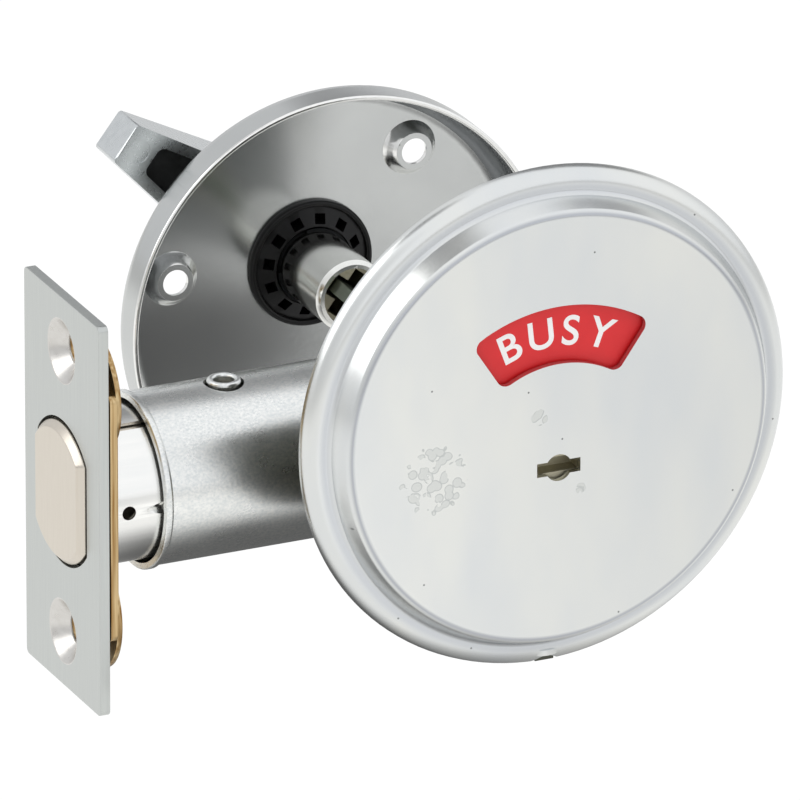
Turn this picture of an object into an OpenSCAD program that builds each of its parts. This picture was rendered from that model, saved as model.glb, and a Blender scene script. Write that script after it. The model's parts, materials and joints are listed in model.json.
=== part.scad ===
// Occupancy-indicator dead bolt for a toilet door: a tubular bolt, an outside
// rose with an indicator window and an inside rose with a thumbturn, loosely
// put together on one tail bar.
// X runs along the bolt into the door, Y through the door towards the room
// and Z up. The origin is the centre of the faceplate's front, on the bolt's
// axis. Sizes are in millimetres.

/* [Door] */
// Front of the faceplate to the spindle axis
backset = 60.325; // [58:0.025:66]
// Height of the spindle axis over the bolt's axis
spindle_rise = 4.8; // [4.6:0.1:5.6]
// Thickness of the door
door_t = 44.45; // [38:0.05:51]
// Gap between the door and the outside rose, as loosely put together
outside_standoff = 2.7; // [0:0.1:6]
// Gap between the door and the inside rose, as loosely put together
inside_standoff = 23; // [18:0.1:30]

/* [Faceplate] */
// Width of the faceplate
plate_w = 25.4; // [24:0.2:30]
// Height of the faceplate
plate_h = 57.15; // [56:0.05:70]
// Thickness of the faceplate
plate_t = 1.5; // [1.2:0.1:1.8]
// Corner radius of the faceplate
plate_corner = 0.8; // [0.4:0.1:4]
// Distance between the two faceplate screws
screw_pitch = 41.275; // [40:0.025:44]
// Bore for the faceplate screws
screw_bore = 4.7; // [4:0.1:5]
// Diameter of the countersink for the screw heads
screw_head = 9.1; // [8.4:0.1:9.6]
// Sheet wall round a dimpled countersink
dimple_wall = 0.7; // [0.5:0.1:1]
// Full angle of the countersink
screw_cone_angle = 92; // [90:1:98]
// Depth of a dimple's end behind the faceplate's front
dimple_end = 2.4; // [2.35:0.05:2.6]

/* [Backplate] */
// Gap between the faceplate and the backplate
back_gap = 0.25; // [0.15:0.05:0.4]
// Thickness of the backplate's front sheet
front_t = 1; // [0.8:0.05:1.3]
// Width of the backplate's front sheet
front_w = 25; // [23.6:0.2:25.4]
// Height of the backplate's front sheet
front_h = 36; // [34:0.5:38]
// Corner radius of the front sheet
front_corner = 1; // [0.6:0.1:3]
// Thickness of the backplate's rear sheet
rear_t = 0.75; // [0.5:0.05:1.2]
// Width of the rear sheet's round ends
rear_w = 24.8; // [23.6:0.2:25.2]
// Rear sheet beyond the centre of each faceplate screw
rear_margin = 3.9; // [3.8:0.02:5]
// Radius of the rear sheet's round ends
rear_r = 8.6; // [7:0.1:9.5]
// Width of the rear sheet's waist
waist_w = 22.2; // [21.8:0.1:23]

/* [Bolt] */
// Diameter of the bolt
bolt_d = 20.2; // [18:0.1:20.6]
// Width of the bolt across its flats
bolt_flats = 15.7; // [13:0.1:17]
// Length of the bolt head
bolt_l = 39; // [36:0.5:39.5]
// How far the drawn bolt stands out of the faceplate
bolt_proud = 1; // [0.5:0.1:2]
// Chamfer round the front of the bolt
bolt_chamfer = 0.9; // [0.6:0.1:1.6]
// Travel of the bolt
throw = 25.4; // [22:0.1:26]
// Diameter of the hardened pin in the bolt
saw_pin_d = 5; // [3:0.5:6]
// Length of the hardened pin in the bolt
saw_pin_l = 30; // [20:1:32]
// Depth of the solid nose before the hardened pin
bolt_nose = 4; // [3:0.5:5]

/* [Tubes] */
// Wall of the inner tube
tube_wall = 0.55; // [0.4:0.05:0.6]
// Length of the inner tube
tube_l = 28.4; // [27:0.2:34]
// Width of the open seam along the inner tube
seam_w = 1.3; // [0.8:0.1:2]
// Direction of the seam, from the outside towards the top
seam_angle = 66; // [45:1:75]
// Outside diameter of the sleeve
sleeve_d = 24.2; // [23.6:0.1:25.2]
// Wall of the sleeve
sleeve_wall = 0.6; // [0.5:0.05:0.7]
// Start of the sleeve behind the faceplate's front
sleeve_start = 10.1; // [9:0.1:12]
// Length of the sleeve
sleeve_l = 36.9; // [35:0.1:37.5]
// Width of the sleeve's swaged front rim
rim_w = 1.2; // [0.6:0.1:2]
// Height of the front rim over the sleeve
rim_h = 0.35; // [0.1:0.05:0.5]
// Place of the backset pin along the bolt
pin_x = 24.1; // [18:0.1:27]
// Outside diameter of the backset pin
pin_d = 4.4; // [3.6:0.1:4.8]
// Bore of the backset pin
pin_bore = 2.9; // [2:0.1:3.2]
// Height of the backset pin over the sleeve
pin_proud = 0.6; // [0.3:0.1:1.2]
// Radius of the backset pin's rolled rim
pin_roll = 0.46; // [0.3:0.02:0.5]

/* [Crank] */
// Turn of the thumbturn between drawn and thrown
turn_angle = 90; // [86:1:96]
// Diameter of the crank's pin
crank_pin_d = 3; // [2.4:0.1:3.4]
// Diameter of the crank's hub
hub_d = 8.8; // [8.6:0.1:9]
// Thickness of each crank arm
arm_t = 2; // [1.2:0.1:2.4]
// Thickness of the bolt's link
link_t = 2.4; // [1.6:0.1:3]
// Width of each fork tine on the link
tine_w = 2.6; // [2:0.1:3]
// Sheet thickness of the hub case
case_t = 1.2; // [0.8:0.1:1.5]
// Width of the space between the hub case's cheeks
case_gap = 10.4; // [10.2:0.1:11]
// Length of the hub case behind the spindle axis
case_tail = 17.5; // [17:0.5:20]
// Thickness of the detent spring
spring_t = 0.4; // [0.3:0.05:0.5]

/* [Spindle] */
// Width of the tail bar
bar_w = 6.6; // [5:0.1:6.8]
// Thickness of the tail bar
bar_t = 2; // [1.4:0.1:2.2]
// Length of the tail bar inside the thumbturn's tube
bar_reach = 4.2; // [3:0.1:8]
// Direction of the lever and the tail bar, from the bolt's axis towards the top
lever_angle = 142; // [130:1:150]

/* [Outside rose] */
// Height of the outside rose's centre over the spindle axis
rose_rise = 5.8; // [5:0.1:6]
// Diameter of the outside rose
rose_d = 72.4; // [72:0.1:76]
// Height of the outside rose
rose_h = 5.7; // [5.5:0.1:7]
// Sheet thickness of the outside rose
rose_t = 0.9; // [0.7:0.05:1]
// Radius of the bead round the rim
bead_r = 2.2; // [2:0.1:2.4]
// Width of the land between the bead and the raised face's wall
land_w = 1.3; // [0.8:0.1:1.8]
// Lean of the raised face's wall
step_angle = 23; // [18:1:26]
// Radius of the raised face's edge
step_edge = 1.1; // [1.05:0.05:1.4]
// Radius of the hollow at the foot of the wall
groove_r = 0.8; // [0.5:0.05:1]
// Width of the lifting notch under the rim
notch_w = 5.1; // [3:0.1:8]
// Height of the lifting notch
notch_h = 2; // [1.4:0.1:2.1]
// Thickness of the pressed hood over the lifting notch
hood_t = 0.5; // [0.3:0.05:0.7]

/* [Indicator] */
// Inner radius of the window round the spindle
window_in = 15.2; // [14:0.1:17]
// Outer radius of the window round the spindle
window_out = 23.6; // [21:0.1:24]
// Angle of the window's right end
window_from_angle = 55; // [52:0.5:60]
// Angle of the window's left end
window_to_angle = 123.3; // [119:0.1:127]
// Corner radius of the window
window_corner = 1.5; // [0.6:0.1:2.5]
// Depth of the indicator's face under the rose's face
window_depth = 1.3; // [1.2:0.05:1.5]
// Thickness of the indicator wheel
wheel_t = 1; // [0.7:0.1:1.2]
// Margin of the wheel and its fields round the window
wheel_margin = 0.9; // [0.6:0.1:1.2]
// Overlap of the printed fields at each end of the window
label_overlap_angle = 4; // [2:0.5:5]
// Thickness of the printed fields
label_t = 0.12; // [0.1:0.02:0.2]
// Length of the emergency key slot
key_slot_l = 6.5; // [5:0.1:7.2]
// Width of the emergency key slot
key_slot_w = 2; // [1.4:0.1:2.6]
// Diameter of the round middle of the key slot
key_round_d = 3.9; // [3:0.1:5]
// Diameter of the turning hub
slot_hub_d = 8.4; // [8:0.1:9]
// Diameter of the mounting posts
post_d = 6.4; // [5.6:0.1:7]
// Tapped bore of the mounting posts
post_bore = 3.3; // [2.5:0.1:3.8]
// Length of the mounting posts behind the outside rose
post_l = 11.4; // [8:0.2:11.6]

/* [Inside rose] */
// Turn of the inside rose on the spindle, as loosely put together
inside_turn = 20.7; // [15:0.1:30]
// Offset of the inside rose's centre from the spindle
inside_drop = 5.46; // [4.8:0.02:6.4]
// Diameter of the inside rose
inside_d = 63.5; // [62:0.1:68]
// Depth of the inside rose
inside_h = 7.7; // [7.2:0.1:8.6]
// Sheet thickness of the inside rose
inside_t = 0.8; // [0.7:0.05:1.2]
// Radius of the inside rose's outer edge
inside_edge = 3.9; // [3:0.1:4.4]
// Sideways distance of each screw hole from the spindle
hole_x = 19.5; // [18:0.1:21]
// Distance of the screw holes over the spindle
hole_z = 8.4; // [8:0.1:11]
// Bore of the screw holes
hole_d = 3.8; // [3.4:0.1:4.6]
// Diameter of a dimple's tip
dimple_d = 5.4; // [5:0.1:6.4]
// Diameter of a dimple's foot
dimple_foot = 8.6; // [8:0.1:10]
// Height of a dimple towards the door
dimple_h = 1.8; // [1:0.1:2.4]
// Diameter of the bearing ring's flange
ring_d = 18.6; // [18.4:0.1:22]
// Diameter of the bearing ring's barrel
ring_barrel = 17.1; // [16:0.1:18]
// Count of notches round the bearing ring
ring_notches = 12; // [8:1:14]

/* [Thumbturn] */
// Outside diameter of the spindle tube
turn_d = 10.6; // [10.2:0.1:11]
// Wall of the spindle tube
turn_wall = 1.1; // [0.9:0.05:1.15]
// Reach of the spindle tube past the inside rose's lip
turn_reach = 7.6; // [6:0.1:14]
// Reach of the lever from the spindle axis
lever_r = 32.4; // [28:0.1:36]
// Width of the lever at its tip
lever_tip_w = 6.3; // [5:0.1:8]
// Width of the lever's straight sides at the spindle axis
lever_root_w = 16.2; // [13:0.1:17]
// Depth of the lever at its tip
lever_tip_h = 6.2; // [5:0.1:8]
// Depth of the lever at the spindle axis
lever_root_h = 13; // [12:0.5:16]
// Gap between the inside rose and the lever
lever_gap = 4.6; // [4:0.1:7]
// Solid tip of the lever before its cored pocket
lever_nose = 5.1; // [4:0.1:8]
// Wall round the lever's cored pocket
lever_wall = 1.6; // [1:0.1:2]
// Depth of the lever's cored pocket
pocket_depth = 4.4; // [3:0.1:4.6]
// Diameter of the ejector mark by the pocket
mark_d = 3.4; // [2.4:0.1:4]

/* [Clearances] */
// Radial clearance of a running shaft
run_gap = 0.06; // [0.04:0.01:0.09]
// Clearance of a sliding or loosely keyed part
slide_gap = 0.25; // [0.2:0.01:0.3]
// Clearance between turning and fixed faces
face_gap = 0.3; // [0.25:0.01:0.35]
// Clearance of a piece seated in another
seat_gap = 0.03; // [0.02:0.01:0.05]
// Visible gap between the bolt and the faceplate's opening
opening_gap = 0.45; // [0.35:0.05:0.6]
// Clearance of the tail bar in the keyed insert
key_gap = 0.6; // [0.3:0.05:0.7]
// Clearance of the crank's pin in the fork, which takes up the pin's curved path
fork_gap = 0.75; // [0.7:0.01:0.9]

/* [Hidden] */
$fn = 96;
cut = 1;

// Places through the door
outside_lip_y = -(door_t / 2 + outside_standoff);
inside_lip_y = door_t / 2 + inside_standoff;
tube_mouth_y = inside_lip_y - turn_reach;

// Faceplate and backplate
head_depth = (screw_head - screw_bore) / 2 / tan(screw_cone_angle / 2);
front_x = plate_t + back_gap;
rear_x = front_x + front_t;
rear_h = screw_pitch + 2 * rear_margin;

// Bolt and tubes
tube_in_r = bolt_d / 2 + slide_gap;
tube_r = tube_in_r + tube_wall;
sleeve_r = sleeve_d / 2;
sleeve_in_r = sleeve_r - sleeve_wall;
bolt_back_x = bolt_l - bolt_proud;
saw_pin_z = bolt_d / 4;
tube_hole_d = 2;
tube_hole_x = 5.2;
stop_x = 7.9;
stop_over = 0.4;
stop_rise = 0.8;
stop_tip = 0.05;
stop_depth = 0.45;
seam_back = 1;
hole_clear = 0.6;
pin_inset = 0.15;

// Crank, link and hub case
crank_r = throw / (2 * sin(turn_angle / 2));
crank_rest = turn_angle / 2 - 90;
hub_r = hub_d / 2;
link_clear = 0.85;
link_top = spindle_rise - hub_r - link_clear;
link_bottom = -7.5;
link_hold = 6;
rivet_d = 3;
rivet_inset = 0.5;
fork_x = backset + throw / 2;
fork_w = crank_pin_d + 2 * fork_gap;
fork_top = spindle_rise - crank_r * cos(turn_angle / 2) + crank_pin_d / 2 + fork_gap;
tine_short = 0.15;
tine_tip = spindle_rise - crank_r + tine_short;
arm_side = 0.6;
arm_in = link_t / 2 + arm_side;
arm_out = arm_in + arm_t;
eye_wall = 1.3;
arm_w = crank_pin_d + 2 * eye_wall;
case_out = case_gap / 2 + case_t;
case_clear = 1.5;
case_start = bolt_back_x + case_clear;
case_end = backset + case_tail;
case_seat = 0.1;
case_front_z = sqrt(pow(sleeve_in_r - case_seat, 2) - pow(case_out, 2));
case_step = 0.5;
hub_proud = 0.3;
spring_gap = 0.15;
case_top = spindle_rise + hub_r + spring_gap;
case_bottom = -case_front_z;
web_t = 1.1;
web_l = 7;
web_back_l = 6;
washer_wall = 1.3;
spring_w = 6;

// Spindle and outside rose
rose_r = rose_d / 2;
step_r = rose_r - bead_r - land_w;
plate_seat = bead_r - rose_t;
hood_short = 0.9;
tab_short = 0.3;
tab_w = 2.8;
label_top = rose_h - window_depth;
wheel_top = label_top - label_t;
wheel_r = window_out + wheel_margin;
slot_hub_r = slot_hub_d / 2;
hub_flange_w = 2;
hub_flange_r = slot_hub_r + hub_flange_w;
hub_flange_t = 0.9;
hub_tail = 4;
hub_top = label_top;
key_depth = 2.4;
key_end_gap = 0.2;
key_side_gap = 0.05;
spring_inset = 0.2;
bar_stop = 0.3;
bar_hold = hub_tail + bar_stop;
post_shoulder = 0.5;
clip_t = 0.7;
clip_depth = 0.5;
clip_wall = 1.9;
clip_slot = 80;
bar_start_y = outside_lip_y + hub_tail - bar_hold;
bar_end_y = tube_mouth_y + bar_reach;

// Inside rose and thumbturn
inside_r = inside_d / 2;
floor_z = inside_h - inside_t;
ring_r = ring_d / 2;
barrel_r = ring_barrel / 2;
turn_r = turn_d / 2;
turn_in_r = turn_r - turn_wall;
ring_proud = 1;
ring_lip = 0.45;
ring_dome = 0.7;
ring_back = 0.4;
ring_back_z = inside_h + ring_back;
ring_front_z = floor_z - ring_proud;
ring_nose_z = ring_front_z - ring_dome;
ring_seat_z = ring_nose_z + clip_t + seat_gap;
ring_seat_r = turn_r + clip_depth / 2 + slide_gap;
ring_notch = [1.4, 1.6];
ring_notch_wall = 0.3;
lever_z = inside_h + lever_gap;
washer_h = 0.6;
lever_boss_z = ring_back_z + washer_h;
lever_boss_r = 8;
lever_hub_r = 9;
lever_corner = 0.6;
lever_back = 2;
lever_bore_h = 8.6;
pocket_start = lever_hub_r + 3;
pocket_corner = 1.2;
mark_depth = 0.15;
mark_x = lever_r - lever_nose / 2;
lever_pin_d = 2.4;
lever_pin_inset = 0.8;
lever_pin_z = lever_z + 5;
insert_l = 9;
insert_recess = 0.8;
key_arm_w = bar_t + 2 * key_gap;
key_arm_l = bar_w + 2 * slide_gap;

// Point at a radius and an angle
function polar(r, a) = r * [cos(a), sin(a)];

// Points along an arc, without its last one and with or without its first
function arc(centre, r, from, to, first, n) =
    [for (i = [first : n - 1]) centre + polar(r, from + (to - from) * i / n)];

// Width of the lever's tapered sides at a distance from the spindle axis
function lever_w(x) = lever_root_w + (lever_tip_w - lever_root_w) * x / lever_r;

// Sketch x to Y, sketch y to Z, height along the bolt into the door
module along_bolt(x) {
    translate([x, 0, 0]) rotate([90, 0, 90]) children();
}

// Sketch x to X, sketch y to Z, on the spindle axis, height towards the outside
module on_spindle(y = 0) {
    translate([backset, y, spindle_rise]) rotate([90, 0, 0]) children();
}

// The same sketch plane at the outside rose's lip
module outside_half() {
    on_spindle(outside_lip_y) children();
}

// The same sketch plane at the inside rose's lip, height into the room
module inside_half() {
    on_spindle(inside_lip_y) mirror([0, 0, 1]) children();
}

// Sketch x to X, sketch y to Z, extruded evenly to both sides of the bolt's middle plane
module middle_plane(t) {
    rotate([90, 0, 0]) linear_extrude(t, center = true) children();
}

module rounded_rect(w, h, r) {
    square([w - 2 * r, h], center = true);
    square([w, h - 2 * r], center = true);
    for (sx = [-1, 1], sy = [-1, 1])
        translate([sx * (w / 2 - r), sy * (h / 2 - r)]) circle(r);
}

// Part of a flat ring between two angles
module sector(r_in, r_out, from, to) {
    reach = 3 * r_out;
    intersection() {
        difference() {
            circle(r_out);
            circle(r_in);
        }
        polygon([[0, 0], reach * [cos(from), sin(from)], reach * [cos(to), sin(to)]]);
    }
}

// The same with its four corners rounded
module rounded_sector(r_in, r_out, from, to, c) {
    inner = asin(c / (r_in + c));
    outer = asin(c / (r_out - c));
    polygon(concat(
        arc([0, 0], r_out, from + outer, to - outer, 0, 28),
        arc(polar(r_out - c, to - outer), c, to - outer, to + 90, 1, 7),
        arc(polar(r_in + c, to - inner), c, to + 90, to + 180 - inner, 0, 7),
        arc([0, 0], r_in, to - inner, from + inner, 0, 28),
        arc(polar(r_in + c, from + inner), c, from + 180 + inner, from + 270, 1, 7),
        arc(polar(r_out - c, from + outer), c, from - 90, from + outer, 0, 7)
    ));
}

module ring(r_in, r_out, h) {
    difference() {
        cylinder(h = h, r = r_out);
        translate([0, 0, -cut]) cylinder(h = h + 2 * cut, r = r_in);
    }
}

// Flat retaining ring, open over a stretch of its circle
module open_ring(r_in, r_out, h, open) {
    linear_extrude(h) difference() {
        circle(r_out);
        circle(r_in);
        sector(r_in / 2, 2 * r_out, -open / 2, open / 2);
    }
}

// Countersunk bore from a face at height 0 downwards along +z
module countersink(head, bore, depth, through) {
    cylinder(h = depth, d1 = head, d2 = bore);
    translate([0, 0, -cut]) cylinder(h = cut, d = head);
    cylinder(h = through, d = bore);
}

// Outline that tapers from x0 to x1, with its far corners rounded
module tapered(x0, x1, w0, w1, c) {
    polygon([[x0, -w0 / 2], [x1 - c, -w1 / 2], [x1 - c, w1 / 2], [x0, w0 / 2]]);
    translate([x1 - c, c - w1 / 2]) square([c, w1 - 2 * c]);
    for (s = [-1, 1])
        translate([x1 - c, s * (w1 / 2 - c)]) circle(c);
}

// Bolt section: round with two flats, larger all round by gap
module bolt_section(gap) {
    intersection() {
        circle(bolt_d / 2 + gap);
        square([bolt_flats + 2 * gap, bolt_d + 4 * gap], center = true);
    }
}

// Section of the outside rose: bead, land, leaning wall and raised face, set in by the sheet thickness t
module rose_section(t) {
    lean = polar(1, step_angle);
    edge_at = [
        step_r - (step_edge + lean.y * (rose_h - step_edge - bead_r)) / lean.x,
        rose_h - step_edge
    ];
    groove_at = [step_r + groove_r * (1 - lean.y) / lean.x, bead_r + groove_r];
    polygon(concat(
        [[0, 0]],
        arc([rose_r - bead_r, 0], bead_r - t, 0, 90, 0, 9), [[rose_r - bead_r, bead_r - t]],
        arc(groove_at, groove_r + t, 270, 180 + step_angle, 0, 6), [groove_at - (groove_r + t) * lean],
        arc(edge_at, step_edge - t, step_angle, 90, 0, 6), [[edge_at.x, rose_h - t]],
        [[0, rose_h - t]]
    ));
}

// Section of the inside rose's dish, set in by the sheet thickness t
module dish_section(t) {
    edge = inside_edge - t;
    square([inside_r - t, inside_h - inside_edge]);
    square([inside_r - inside_edge, inside_h - t]);
    translate([inside_r - inside_edge, inside_h - inside_edge]) intersection() {
        circle(edge);
        square(inside_edge);
    }
}

// Bolt unit

module faceplate() {
    color("#c3c4c2") along_bolt(0) difference() {
        union() {
            linear_extrude(plate_t) rounded_rect(plate_w, plate_h, plate_corner);
            for (s = [-1, 1])
                translate([0, s * screw_pitch / 2, plate_t / 2])
                    cylinder(h = dimple_end - plate_t / 2,
                        d1 = screw_head + 2 * dimple_wall, d2 = screw_bore + 2 * dimple_wall);
        }
        translate([0, 0, -cut]) linear_extrude(plate_t + 2 * cut) bolt_section(opening_gap);
        for (s = [-1, 1])
            translate([0, s * screw_pitch / 2, 0])
                countersink(screw_head, screw_bore, head_depth, dimple_end + cut);
    }
}

module backplate() {
    color("#d6b068") difference() {
        union() {
            // Front sheet, notched round the faceplate's dimples
            along_bolt(front_x) linear_extrude(front_t) difference() {
                rounded_rect(front_w, front_h, front_corner);
                for (s = [-1, 1])
                    translate([0, s * screw_pitch / 2]) circle(screw_head / 2 + dimple_wall);
            }
            // Rear sheet, with round ends that the screws pass through
            along_bolt(rear_x) linear_extrude(rear_t) difference() {
                union() {
                    for (s = [-1, 1])
                        translate([0, s * (rear_h / 2 - rear_r)]) {
                            square([rear_w - 2 * rear_r, 2 * rear_r], center = true);
                            for (t = [-1, 1])
                                translate([t * (rear_w / 2 - rear_r), 0]) circle(rear_r);
                        }
                    square([waist_w, rear_h - 2 * rear_r], center = true);
                }
                for (s = [-1, 1])
                    translate([0, s * screw_pitch / 2]) circle(screw_bore / 2 + dimple_wall + slide_gap);
            }
        }
        along_bolt(0) cylinder(h = rear_x + rear_t + cut, r = tube_r + seat_gap);
    }
}

module inner_tube() {
    color("#dcdedd") difference() {
        along_bolt(front_x) ring(tube_in_r, tube_r, tube_l);
        // Open seam along the tube, behind the backplate
        translate([rear_x + rear_t + seam_back, 0, 0]) rotate([90 - seam_angle, 0, 0])
            translate([0, -seam_w / 2, 0]) cube([tube_l, seam_w, 2 * tube_r]);
        // Round hole and pressed stop on the outer side
        translate([tube_hole_x, 0, 0]) rotate([90, 0, 0]) cylinder(h = 2 * tube_r, d = tube_hole_d);
        translate([stop_x, -tube_r - stop_rise, 0]) rotate([0, 90, 0])
            cylinder(h = sleeve_start + stop_over - stop_x,
                r1 = stop_rise + stop_tip, r2 = stop_rise + stop_depth);
        translate([pin_x, 0, 0]) cylinder(h = 2 * tube_r, d = pin_d + 2 * slide_gap);
    }
}

module outer_sleeve() {
    rim_r = sleeve_r + rim_h;
    strip_w = 2 * (arm_out + cut);
    color("#aeb0b0") difference() {
        along_bolt(sleeve_start) rotate_extrude() polygon([
            [sleeve_in_r, 0], [rim_r - rim_h / 2, 0], [rim_r, rim_h / 2], [rim_r, rim_w - rim_h],
            [sleeve_r, rim_w], [sleeve_r, sleeve_l], [sleeve_in_r, sleeve_l]
        ]);
        translate([pin_x, 0, 0]) cylinder(h = 2 * sleeve_r, d = pin_d + 2 * hole_clear);
        // Open strip below for the link's fork and the crank
        translate([case_start, -strip_w / 2, -2 * sleeve_r]) cube([sleeve_l, strip_w, 2 * sleeve_r]);
    }
}

module backset_pin() {
    pin_bottom = tube_in_r + pin_inset;
    pin_top = sleeve_r + pin_proud - pin_roll;
    color("#b4b5b2") translate([pin_x, 0, 0]) rotate_extrude() {
        translate([pin_bore / 2, pin_bottom]) square([(pin_d - pin_bore) / 2, pin_top - pin_bottom]);
        translate([pin_bore / 2 + pin_roll, pin_top]) circle(pin_roll);
    }
}

module hub_case() {
    color("#a9abaa") difference() {
        union() {
            for (s = [-1, 1])
                translate([0, s * (case_gap + case_t) / 2, 0]) middle_plane(case_t) {
                    translate([case_start, case_bottom]) square([case_end - case_start, 2 * case_front_z]);
                    translate([sleeve_start + sleeve_l + case_step, 0])
                        square([case_end - sleeve_start - sleeve_l - case_step, case_top]);
                }
            for (x = [case_start, case_end - web_back_l])
                translate([x, -case_gap / 2, case_top - web_t])
                    cube([x == case_start ? web_l : web_back_l, case_gap, web_t]);
        }
        on_spindle() cylinder(h = 4 * case_out, r = hub_r + run_gap, center = true);
    }
}

module hub_washers() {
    washer_t = case_gap / 2 - arm_out - face_gap;
    color("#8f8a78") for (s = [0, 1])
        on_spindle() mirror([0, 0, s]) translate([0, 0, case_gap / 2 - washer_t])
            ring(hub_r + run_gap, hub_r + washer_wall, washer_t);
}

module detent_spring() {
    color("#777a7c") translate([case_start, -spring_w / 2, case_top])
        cube([case_end - case_start, spring_w, spring_t]);
}

module bolt_head() {
    color("#d6cfc3") along_bolt(-bolt_proud) difference() {
        intersection() {
            union() {
                cylinder(h = bolt_chamfer, r1 = bolt_d / 2 - bolt_chamfer, r2 = bolt_d / 2);
                translate([0, 0, bolt_chamfer]) cylinder(h = bolt_l - bolt_chamfer, d = bolt_d);
            }
            rotate([90, 0, 0]) linear_extrude(2 * bolt_d, center = true) polygon([
                [bolt_chamfer - bolt_flats / 2, 0], [bolt_flats / 2 - bolt_chamfer, 0],
                [bolt_flats / 2, bolt_chamfer], [bolt_flats / 2, bolt_l],
                [-bolt_flats / 2, bolt_l], [-bolt_flats / 2, bolt_chamfer]
            ]);
        }
        translate([0, saw_pin_z, bolt_nose]) cylinder(h = bolt_l, d = saw_pin_d + 2 * seat_gap);
        translate([-link_t / 2 - seat_gap, -bolt_d, bolt_l - link_hold])
            cube([link_t + 2 * seat_gap, bolt_d + link_top + seat_gap, link_hold + cut]);
        translate([0, (link_top + link_bottom) / 2, bolt_l - link_hold / 2]) rotate([0, 90, 0])
            cylinder(h = 2 * bolt_d, d = rivet_d + 2 * seat_gap, center = true);
    }
}

module saw_pin() {
    color("#86898c") along_bolt(bolt_nose - bolt_proud) translate([0, saw_pin_z, 0])
        cylinder(h = saw_pin_l, d = saw_pin_d);
}

module bolt_link() {
    color("#a7a9a6") difference() {
        middle_plane(link_t) difference() {
            union() {
                translate([bolt_back_x - link_hold, link_bottom])
                    square([fork_x + fork_w / 2 + tine_w - bolt_back_x + link_hold, link_top - link_bottom]);
                translate([fork_x - fork_w / 2 - tine_w, tine_tip])
                    square([fork_w + 2 * tine_w, link_top - tine_tip]);
            }
            translate([fork_x - fork_w / 2, 2 * tine_tip])
                square([fork_w, fork_top - fork_w / 2 - 2 * tine_tip]);
            translate([fork_x, fork_top - fork_w / 2]) circle(d = fork_w);
        }
        translate([bolt_back_x - link_hold / 2, 0, (link_top + link_bottom) / 2]) rotate([90, 0, 0])
            cylinder(h = 2 * link_t, d = rivet_d + 2 * seat_gap, center = true);
    }
}

module link_rivet() {
    color("#8b8d8e") translate([bolt_back_x - link_hold / 2, 0, (link_top + link_bottom) / 2])
        rotate([90, 0, 0]) cylinder(h = bolt_flats - 2 * rivet_inset, d = rivet_d, center = true);
}

module crank_hub() {
    color("#b9b49a") on_spindle() difference() {
        union() {
            cylinder(h = 2 * (case_out + hub_proud), r = hub_r, center = true);
            for (s = [-1, 1])
                translate([0, 0, s * (arm_in + arm_out) / 2]) rotate([0, 0, crank_rest])
                    linear_extrude(arm_t, center = true) {
                        translate([0, -arm_w / 2]) square([crank_r, arm_w]);
                        translate([crank_r, 0]) circle(d = arm_w);
                    }
        }
        rotate([0, 0, lever_angle])
            cube([bar_w + 2 * slide_gap, bar_t + 2 * slide_gap, 4 * case_out], center = true);
        rotate([0, 0, crank_rest]) translate([crank_r, 0, 0])
            cylinder(h = 4 * arm_out, d = crank_pin_d + 2 * seat_gap, center = true);
    }
}

module crank_pin() {
    color("#8b8d8e") on_spindle() rotate([0, 0, crank_rest]) translate([crank_r, 0, 0])
        cylinder(h = 2 * arm_out, d = crank_pin_d, center = true);
}

// Outside half

module outside_rose() {
    notch_r = (pow(notch_w / 2, 2) + pow(notch_h, 2)) / (2 * notch_h);
    color("#dfe0de") outside_half() difference() {
        union() {
            translate([0, rose_rise, 0]) rotate_extrude() difference() {
                rose_section(0);
                rose_section(rose_t);
            }
            // Hood pressed out of the rim over the lifting notch
            intersection() {
                translate([0, rose_rise - rose_r + bead_r + hood_t, notch_h - notch_r]) rotate([90, 0, 0])
                    cylinder(h = bead_r - hood_short, r = notch_r + hood_t);
                translate([0, rose_rise - rose_r, plate_seat + bead_r]) cube(2 * bead_r, center = true);
            }
        }
        translate([0, 0, rose_h / 2]) linear_extrude(rose_h)
            rounded_sector(window_in, window_out, window_from_angle, window_to_angle, window_corner);
        translate([0, 0, rose_h / 2]) cylinder(h = rose_h, d = key_round_d);
        translate([0, 0, rose_h]) cube([key_slot_l, key_slot_w, rose_h], center = true);
        // Lifting notch at the bottom of the rim
        translate([0, rose_rise - rose_r + bead_r, notch_h - notch_r]) rotate([90, 0, 0])
            cylinder(h = 2 * bead_r, r = notch_r);
    }
}

module outside_plate() {
    plate_r = rose_r - bead_r - seat_gap;
    color("#b7b8b4") outside_half() difference() {
        union() {
            translate([0, rose_rise, 0]) cylinder(h = plate_seat, r = plate_r);
            // Tab in the rim's lifting notch
            translate([-tab_w / 2, rose_rise - rose_r + tab_short, 0]) cube([tab_w, bead_r, plate_seat]);
        }
        translate([0, 0, -cut]) cylinder(h = plate_seat + 2 * cut, r = slot_hub_r + run_gap);
        for (s = [-1, 1])
            translate([s * hole_x, -hole_z, -cut])
                cylinder(h = plate_seat + 2 * cut, d = post_d - 2 * post_shoulder);
    }
}

module mounting_posts() {
    color("#b9b49a") outside_half() for (s = [-1, 1])
        translate([s * hole_x, -hole_z, -post_l]) difference() {
            union() {
                cylinder(h = post_l, d = post_d);
                cylinder(h = post_l + plate_seat, d = post_d - 2 * post_shoulder - 2 * seat_gap);
            }
            translate([0, 0, -cut]) cylinder(h = post_l + cut, d = post_bore);
        }
}

module indicator_wheel() {
    color("#e8e6e0") outside_half() translate([0, 0, wheel_top - wheel_t])
        ring(slot_hub_r + seat_gap, wheel_r, wheel_t);
}

module label(turn) {
    outside_half() translate([0, 0, wheel_top]) rotate([0, 0, turn]) linear_extrude(label_t)
        rounded_sector(window_in - wheel_margin / 2, window_out + wheel_margin / 2,
            window_from_angle - label_overlap_angle, window_to_angle + label_overlap_angle, window_corner);
}

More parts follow.
